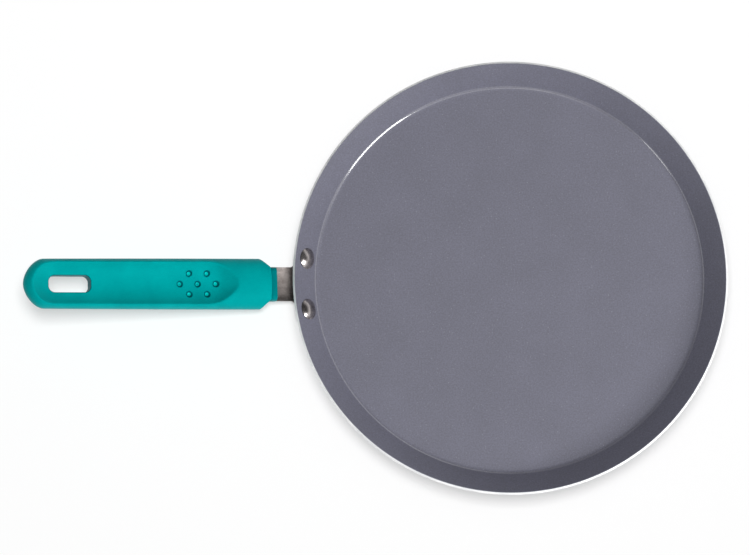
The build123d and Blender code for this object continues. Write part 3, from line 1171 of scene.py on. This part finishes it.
    def dimple_rows(self) -> list[tuple[float, float]]:
        """Lay out the dimples in three rows.

        Returns:
            The place of each: along the grip and across it.
        """
        middle = [(step, 0) for step in (-1, 0, 1)]
        sides = [(step, side) for side in (-1, 1) for step in (-0.5, 0.5)]
        return [
            (self.dimple_centre + step * self.dimple_pitch, side * self.dimple_row_spacing)
            for step, side in middle + sides
        ]

    def dimple_tools(self) -> Iterator[Piece]:
        """Make a ball for each dimple, in three rows along the trough's floor.

        Yields:
            Each ball in its place.
        """
        floor, trough_radius = self.trough_levels()
        radius = ball_radius(self.dimple_diameter, self.dimple_depth)
        reach = trough_radius + self.dimple_depth - radius
        blend = self.trough_end_radius
        blend_stop = self.trough_floor_start() + blend * tan(radians(self.trough_end_slope / 2))
        for along, across in self.dimple_rows():
            rise = blend - sqrt(blend**2 - max(blend_stop - along, 0) ** 2)
            up = floor + trough_radius - sqrt(reach**2 - across**2) + rise
            yield new_primitive(
                "dimple_tool",
                bpy.ops.mesh.primitive_uv_sphere_add,
                segments=self.dimple_facets,
                ring_count=self.dimple_facets // 2,
                radius=radius * MM,
                location=Vector((along, across, up)) * MM,
            )

    def slot_middle(self) -> float:
        """Place of the hanging slot's middle along the grip."""
        return self.length - self.slot_from_tip - self.slot_length / 2

    def slot_tool(self) -> Piece:
        """Make the rounded bar that is as long and as wide as the hanging slot.

        Returns:
            The bar, which runs past both faces of the grip.
        """
        depth = self.crown + self.belly
        centre = (self.slot_middle() * MM, 0, -depth * MM)
        tool = new_primitive("slot_tool", bpy.ops.mesh.primitive_plane_add, size=1, location=centre)
        with editing(tool):
            sizes = (self.slot_length * MM, self.slot_width * MM, 1)
            bpy.ops.transform.resize(value=sizes, center_override=centre)
            rounding, steps = self.slot_corner_radius * MM, self.slot_corner_steps
            bpy.ops.mesh.bevel(offset=rounding, segments=steps, affect="VERTICES")
            bpy.ops.mesh.select_all(action="SELECT")
            extrude(bpy.ops.mesh.extrude_region_move, Vector((0, 0, 2 * depth * MM)))
        close_seams(tool)
        return tool

    def counterbore_tool(self) -> Piece:
        """Make the cylinder that opens the underside for the screw's head.

        Returns:
            The cylinder.
        """
        depth = self.belly
        return new_primitive(
            "counterbore_tool",
            bpy.ops.mesh.primitive_cylinder_add,
            vertices=self.counterbore_facets,
            radius=self.counterbore_diameter / 2 * MM,
            depth=depth * MM,
            location=Vector((self.screw_from_end, 0, self.screw_seat_up - depth / 2)) * MM,
        )

    def is_by_dimple(self, point: Vector, reach: float) -> bool:
        """Say whether a point lies within a reach of a dimple's middle, seen from above.

        Args:
            point: The point in the grip's own axes.
            reach: The reach in millimetres.

        Returns:
            Whether it does.
        """
        along, across = point.x / MM, point.y / MM
        return any((along - x) ** 2 + (across - y) ** 2 < reach**2 for x, y in self.dimple_rows())

    def is_broad(self, point: Vector) -> bool:
        """Say whether a point is on the trough or its crest, away from the dimples and the slot.

        Args:
            point: The point in the grip's own axes.

        Returns:
            Whether it is.
        """
        along, across, margin = point.x / MM, point.y / MM, self.detail_margin
        if point.z < self.broad_from_up * MM or along < self.broad_from_end:
            return False
        if self.is_by_dimple(point, self.dimple_diameter / 2 + margin):
            return False
        by_slot = abs(along - self.slot_middle()) < self.slot_length / 2 + margin
        return not (by_slot and abs(across) < self.slot_width / 2 + margin)

    def is_by_slot(self, point: Vector) -> bool:
        """Say whether a point of the surface is in the slot or on its edge.

        Args:
            point: The point in the grip's own axes.

        Returns:
            Whether it is.
        """
        radius = self.slot_corner_radius
        along = max(abs(point.x / MM - self.slot_middle()) - self.slot_length / 2 + radius, 0)
        across = max(abs(point.y / MM) - self.slot_width / 2 + radius, 0)
        return along**2 + across**2 < (radius + self.slot_edge) ** 2

    def zone(self, point: Vector) -> GripZone:
        """Find the zone of a point of the surface.

        Args:
            point: The point in the grip's own axes.

        Returns:
            Its zone.
        """
        radius = self.dimple_diameter / 2
        # The slot, its edge and each dimple's steep ring are darkened with painted shade
        if self.is_by_slot(point):
            return GripZone.RECESS
        if point.z <= self.broad_from_up * MM or not self.is_by_dimple(point, radius):
            return GripZone.PLAIN
        # Each dimple's middle is glossier and painted lighter as a highlight
        in_middle = self.is_by_dimple(point, self.dimple_gloss_highlight_share * radius)
        return GripZone.DIMPLE_MIDDLE if in_middle else GripZone.RECESS

    def soften(self, grip: Piece) -> None:
        """Round the moulding's edges: widely at the trough's crest, and a little at the details.

        Args:
            grip: The grip in its own axes, in even small faces.
        """
        broad = grip.vertex_groups.new(name="broad_forms")
        broad.add([v.index for v in grip.data.vertices if self.is_broad(v.co)], 1.0, "REPLACE")
        for rounds, where in ((self.softening_rounds, broad.name), (self.detail_softening_rounds, "")):
            apply_modifier(grip, "SMOOTH", factor=self.softening, iterations=rounds, vertex_group=where)
        grip.vertex_groups.clear()

    def build(self) -> Piece:
        """Shape the grip in its own axes, soften its edges and put it in place.

        Returns:
            The grip, not yet dressed.
        """
        grip = self.bar()
        self.cut_shoulders(grip)
        for tool in (self.trough_tool(), self.slot_tool(), self.counterbore_tool()):
            cut_away(grip, tool)
        apply_modifier(grip, "REMESH", mode="VOXEL", voxel_size=self.voxel * MM)
        self.soften(grip)
        for tool in self.dimple_tools():
            cut_away(grip, tool)
        grip.name = "moulded_grip"
        settle(grip, self.axes())
        close_seams(grip, self.dimple_seam)
        smooth_by_angle(grip, self.crisp_angle)
        return grip

    def make(self, plastic: Material) -> None:
        """Build, dress and hand over the grip.

        Args:
            plastic: The handle's plastic.
        """
        grip = self.build()
        # The steep ring of each dimple and the slot's walls and edge are darkened with painted shade
        recess = SatinPlastic("painted_shade_plastic", "#006C72", "#00636A", sheen=0.05)
        # The pins that form the dimples have polished ends, so the paint lies glossy in the middle, and its
        # colour there is made lighter as a painted highlight
        middle = SatinPlastic("glossy_painted_highlight_plastic", "#00C4BD", "#00BAB4", (0.2, 0.26), sheen=1.0)
        grip.data.materials.clear()
        for material in (plastic, recess.material(), middle.material()):
            grip.data.materials.append(material)
        back = self.axes().inverted()
        for face in grip.data.polygons:
            face.material_index = self.zone(back @ face.center).value
        hand_over(grip, Slot.HANDLE_PLASTIC, "handle_grip")


@dataclass
class Collar:
    """The narrow plastic ring between the neck and the grip, with a groove beside the grip."""

    grip: Grip
    length: float = 4.8
    width: float = 20.4
    height: float = 9.6
    corner_radius: float = 3.2
    corner_steps: int = 10
    groove_width: float = 1.0
    groove_depth: float = 0.8
    centre_up: float = -1.0
    spigot: float = 2.6
    edge_rounding: float = 0.35
    edge_steps: int = 4
    edge_angle: float = 60.0
    crisp_angle: float = 50.0

    def build(self) -> Piece:
        """Extrude the collar from a rounded plate, step in the groove and round its edges.

        Returns:
            The collar, not yet dressed.
        """
        start = Vector((-self.length, 0, self.centre_up)) * MM
        add, upright = bpy.ops.mesh.primitive_plane_add, (0, pi / 2, 0)
        collar = new_primitive("moulded_collar", add, size=MM, location=start, rotation=upright)
        flange = self.length - self.groove_width
        rounding, inner = self.corner_radius * MM, self.groove_width + self.spigot
        with editing(collar):
            bpy.ops.transform.resize(value=(1, self.width, self.height), center_override=start)
            bpy.ops.mesh.bevel(offset=rounding, segments=self.corner_steps, affect="VERTICES")
            bpy.ops.mesh.select_all(action="SELECT")
            extrude(bpy.ops.mesh.extrude_region_move, Vector((flange * MM, 0, 0)))
            bpy.ops.mesh.inset(thickness=self.groove_depth * MM)
            extrude(bpy.ops.mesh.extrude_region_move, Vector((inner * MM, 0, 0)))
        close_seams(collar)
        round_edges(collar, self.edge_rounding, self.edge_steps, self.edge_angle)
        settle(collar, self.grip.axes())
        smooth_by_angle(collar, self.crisp_angle)
        return collar

    def make(self, plastic: Material) -> None:
        """Build, dress and hand over the collar.

        Args:
            plastic: The collar's plastic.
        """
        collar = self.build()
        collar.data.materials.append(plastic)
        hand_over(collar, Slot.HANDLE_PLASTIC, "handle_collar")


@dataclass
class Bracket:
    """The stamped steel bracket: a riveting plate round the wall, a neck and a tang."""

    edge_rounding: float = 0.3
    edge_steps: int = 3
    edge_angle: float = 40.0
    flat_angle: float = 0.4
    crisp_angle: float = 35.0

    def make(self, slope: float) -> None:
        """Round the edges of a copy of the CAD bracket, dress it and hand it over.

        Args:
            slope: The handle's slope in radians.
        """
        bracket = new_object("stamped_bracket", frame["nodes"]["handle_bracket"].data.copy())
        close_seams(bracket)
        with editing(bracket, "FACE"):
            bpy.ops.mesh.dissolve_limited(angle_limit=radians(self.flat_angle))
        round_edges(bracket, self.edge_rounding, self.edge_steps, self.edge_angle)
        smooth_by_angle(bracket, self.crisp_angle)
        bracket.data.materials.clear()
        bracket.data.materials.append(BrushedSteel(slope=slope).material())
        hand_over(bracket, Slot.BRACKET_STEEL, "handle_bracket")


@dataclass
class Fixings:
    """The screw and its lock washer under the grip, kept as the CAD has them."""

    nodes: tuple[str, ...] = ("handle_screw", "lock_washer")

    def make(self) -> None:
        """Dress the CAD nodes in zinc plate."""
        plate = ZincPlate().material()
        for name in self.nodes:
            node = frame["nodes"][name]
            node.data.materials.clear()
            node.data.materials.append(plate)
            LOG.info("%s: kept from the CAD", name)


def group(name: str, members: Sequence[Piece]) -> bpy.types.Collection:
    """Gather objects for a lamp.

    Args:
        name: The collection's name.
        members: The objects.

    Returns:
        The collection, which the scene doesn't show a second time.
    """
    collection = bpy.data.collections.new(name)
    for member in members:
        collection.objects.link(member)
    return collection


@dataclass(frozen=True)
class SoftBox:
    """A square soft box that faces the middle of the pan's base.

    Its share is how much of the plain level it gives a surface square to it: at a share of 1 a
    white surface renders white by this lamp alone. Its distance and size are in metres.
    """

    name: str
    azimuth: float
    tilt: float
    distance: float
    size: float
    share: float

    def make(self, lit: Sequence[Piece], shading: Sequence[Piece] = ()) -> None:
        """Hang the lamp.

        Args:
            lit: The only objects that it lights.
            shading: The only objects that cast its shadow. All of them if left out.
        """
        lamp = bpy.data.lights.new(self.name, "AREA")
        lamp.shape = "SQUARE"
        lamp.size = self.size
        lamp.energy = self.share * pi**2 * self.distance**2
        box = new_object(self.name, lamp)
        turn, tilt = radians(self.azimuth), radians(self.tilt)
        back = Vector((cos(turn) * sin(tilt), sin(turn) * sin(tilt), cos(tilt)))
        box.location = back * self.distance
        box.rotation_euler = back.to_track_quat("Z", "Y").to_euler()
        box.light_linking.receiver_collection = group(f"lit_by_{self.name}", lit)
        if shading:
            box.light_linking.blocker_collection = group(f"shading_{self.name}", shading)


@dataclass
class Studio:
    """A pale floor, soft lamps and the camera above the pan. Its lengths are in metres."""

    floor_radius: float = 3.0
    floor_facets: int = 128
    floor_colour: str = "#E6E6E6"
    floor_glow: float = 0.16
    shadow_reach: Range = (0.45, 0.9)
    ambient: float = 0.14
    horizon_glow: float = 1.0
    zenith_glow: float = 0.12
    horizon_band: Range = (0.22, 0.5)
    dim_side: float = 120.0
    dim_share: float = 0.3
    dim_band: Range = (0.5, 0.85)
    camera_place: tuple[float, float, float] = (-0.1006, -0.20354, 2.0)
    camera_aim: tuple[float, float, float] = (-0.08077, 0.00172, 0.0185)
    camera_roll: float = -1.7435
    lens: float = 160.63
    key: SoftBox = SoftBox("key_soft_box", -40, 54, distance=2.2, size=0.75, share=0.6)
    side: SoftBox = SoftBox("side_soft_box", -145, 58, distance=2.0, size=0.4, share=0.04)
    top: SoftBox = SoftBox("top_soft_box", -60, 12, distance=2.0, size=3.0, share=0.85)
    handle_shade: SoftBox = SoftBox("handle_shade_box", 90, 0.3, distance=3.0, size=0.55, share=0.49)
    dish_shade: SoftBox = SoftBox("dish_shade_box", 90, 10.5, distance=3.0, size=1.5, share=0.49)

    def make_floor(self) -> Piece:
        """Lay the floor.

        Its shader adds a glow for what sees it directly or in a reflection, so that it looks white
        while the pan's shadow stays and the pan gets no more light. Far from the pan, where no
        shadow falls, the glow is all there is.

        Returns:
            The floor.
        """
        add = bpy.ops.mesh.primitive_circle_add
        sizes = {"vertices": self.floor_facets, "radius": self.floor_radius, "fill_type": "NGON"}
        floor = new_primitive("studio_floor", add, **sizes)
        material, shader, place = new_material("matt_white_sweep")
        tree = material.node_tree
        shader.inputs["Roughness"].default_value = 1.0
        shader.inputs["Specular IOR Level"].default_value = 0.0
        shader.inputs["Emission Color"].default_value = linear("#FFFFFF")
        away = add_node(tree, "VectorMath", {0: place}, operation="LENGTH").outputs["Value"]
        far = add_node(tree, "MapRange", {"Value": away} | between(*self.shadow_reach)).outputs[0]
        path = add_node(tree, "LightPath").outputs
        seen = path["Is Camera Ray"]
        for kind in ("Is Glossy Ray", "Is Transmission Ray"):
            seen = add_node(tree, "Math", {0: seen, 1: path[kind]}, operation="MAXIMUM").outputs[0]
        glow = add_node(tree, "MapRange", {"Value": far, "To Min": self.floor_glow}).outputs[0]
        shown = add_node(tree, "Math", {0: seen, 1: glow}, operation="MULTIPLY").outputs[0]
        colours = {COLOUR_A: linear(self.floor_colour), COLOUR_B: linear("#000000")}
        ground = add_node(tree, "Mix", {"Factor": far} | colours, data_type="RGBA").outputs[MIXED_COLOUR]
        tree.links.new(ground, shader.inputs["Base Color"])
        tree.links.new(shown, shader.inputs["Emission Strength"])
        floor.data.materials.append(material)
        floor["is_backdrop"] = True
        return floor

    def add_surroundings(self, tree: Tree) -> Socket:
        """Grade what metal mirrors: bright at the horizon and dim above, and dimmer behind the pan.

        Args:
            tree: The world's node tree.

        Returns:
            The brightness in each direction.
        """
        direction = add_node(tree, "TexCoord").outputs["Generated"]
        height = add_node(tree, "SeparateXYZ", {0: direction}).outputs["Z"]
        levels = {"Value": height, "To Min": self.horizon_glow, "To Max": self.zenith_glow}
        glow = add_node(tree, "MapRange", levels | between(*self.horizon_band)).outputs[0]
        turn = radians(self.dim_side)
        behind = {0: direction, 1: (cos(turn), sin(turn), 0)}
        facing = add_node(tree, "VectorMath", behind, operation="DOT_PRODUCT").outputs["Value"]
        levels = {"Value": facing, "To Min": 1.0, "To Max": self.dim_share}
        dim = add_node(tree, "MapRange", levels | between(*self.dim_band)).outputs[0]
        return add_node(tree, "Math", {0: glow, 1: dim}, operation="MULTIPLY").outputs[0]

    def make_world(self) -> None:
        """Light the surroundings: plain white to the camera, graded to metal, and faint otherwise."""
        world = bpy.data.worlds.new("studio_surroundings")
        bpy.context.scene.world = world
        world.use_nodes = True
        world.cycles.sampling_method = "NONE"
        tree = world.node_tree
        path = add_node(tree, "LightPath").outputs
        mirrored = {"Factor": path["Is Glossy Ray"], "A": self.ambient, "B": self.add_surroundings(tree)}
        plain = add_node(tree, "Mix", mirrored, data_type="FLOAT").outputs[0]
        direct = {"Factor": path["Is Camera Ray"], "A": plain, "B": 1.0}
        seen = add_node(tree, "Mix", direct, data_type="FLOAT").outputs[0]
        tree.links.new(seen, tree.nodes["Background"].inputs["Strength"])
        tree.nodes["Background"].inputs["Color"].default_value = linear("#FFFFFF")

    def hang_lamps(self, floor: Piece) -> None:
        """Hang the lamps: three for the pan, and two for the floor, which shade it softly.

        Args:
            floor: The studio's floor.
        """
        pieces = list(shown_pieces())
        dish = [piece for piece in pieces if piece.name.startswith(("pressed", "polished"))]
        handle = [piece for piece in pieces if piece not in dish]
        self.key.make(pieces)
        self.side.make(pieces)
        self.top.make([piece for piece in pieces if not piece.name.startswith("polished")])
        self.handle_shade.make([floor], handle)
        self.dish_shade.make([floor], dish)

    def set_camera(self) -> None:
        """Stand the camera above the pan, turned as the photograph shows it."""
        place, aim = Vector(self.camera_place), Vector(self.camera_aim)
        look = (aim - place).normalized()
        right = look.cross(Vector((0, 1, 0))).normalized()
        turn = Matrix((right, right.cross(look), -look)).transposed().to_4x4()
        lens = bpy.data.cameras.new("overhead_camera")
        lens.lens = self.lens
        camera = new_object("overhead_camera", lens)
        roll = Matrix.Rotation(radians(self.camera_roll), 4, "Z")
        camera.matrix_world = Matrix.Translation(place) @ turn @ roll
        bpy.context.scene.camera = camera

    def make(self) -> None:
        """Set up the floor, the surroundings, the lamps and the camera."""
        floor = self.make_floor()
        self.make_world()
        self.hang_lamps(floor)
        self.set_camera()
        bpy.context.scene.view_settings.view_transform = "Standard"


def main() -> None:
    """Build the pan piece by piece, then the studio."""
    logging.basicConfig(level=logging.INFO, format="%(name)s: %(message)s")
    dish = Dish()
    grip = Grip()
    plastic = SatinPlastic().material()
    # The collar is the same nylon with its colour darkened as painted shade, so it is darker than the grip
    collar_plastic = SatinPlastic("shade_darkened_turquoise_plastic", "#00868A", "#00797D").material()
    slope = grip.axes().to_euler().y
    dish.make()
    Rivets(dish).make()
    grip.make(plastic)
    Collar(grip).make(collar_plastic)
    Bracket().make(slope)
    Fixings().make()
    Studio().make()


if __name__ == "__main__":
    main()
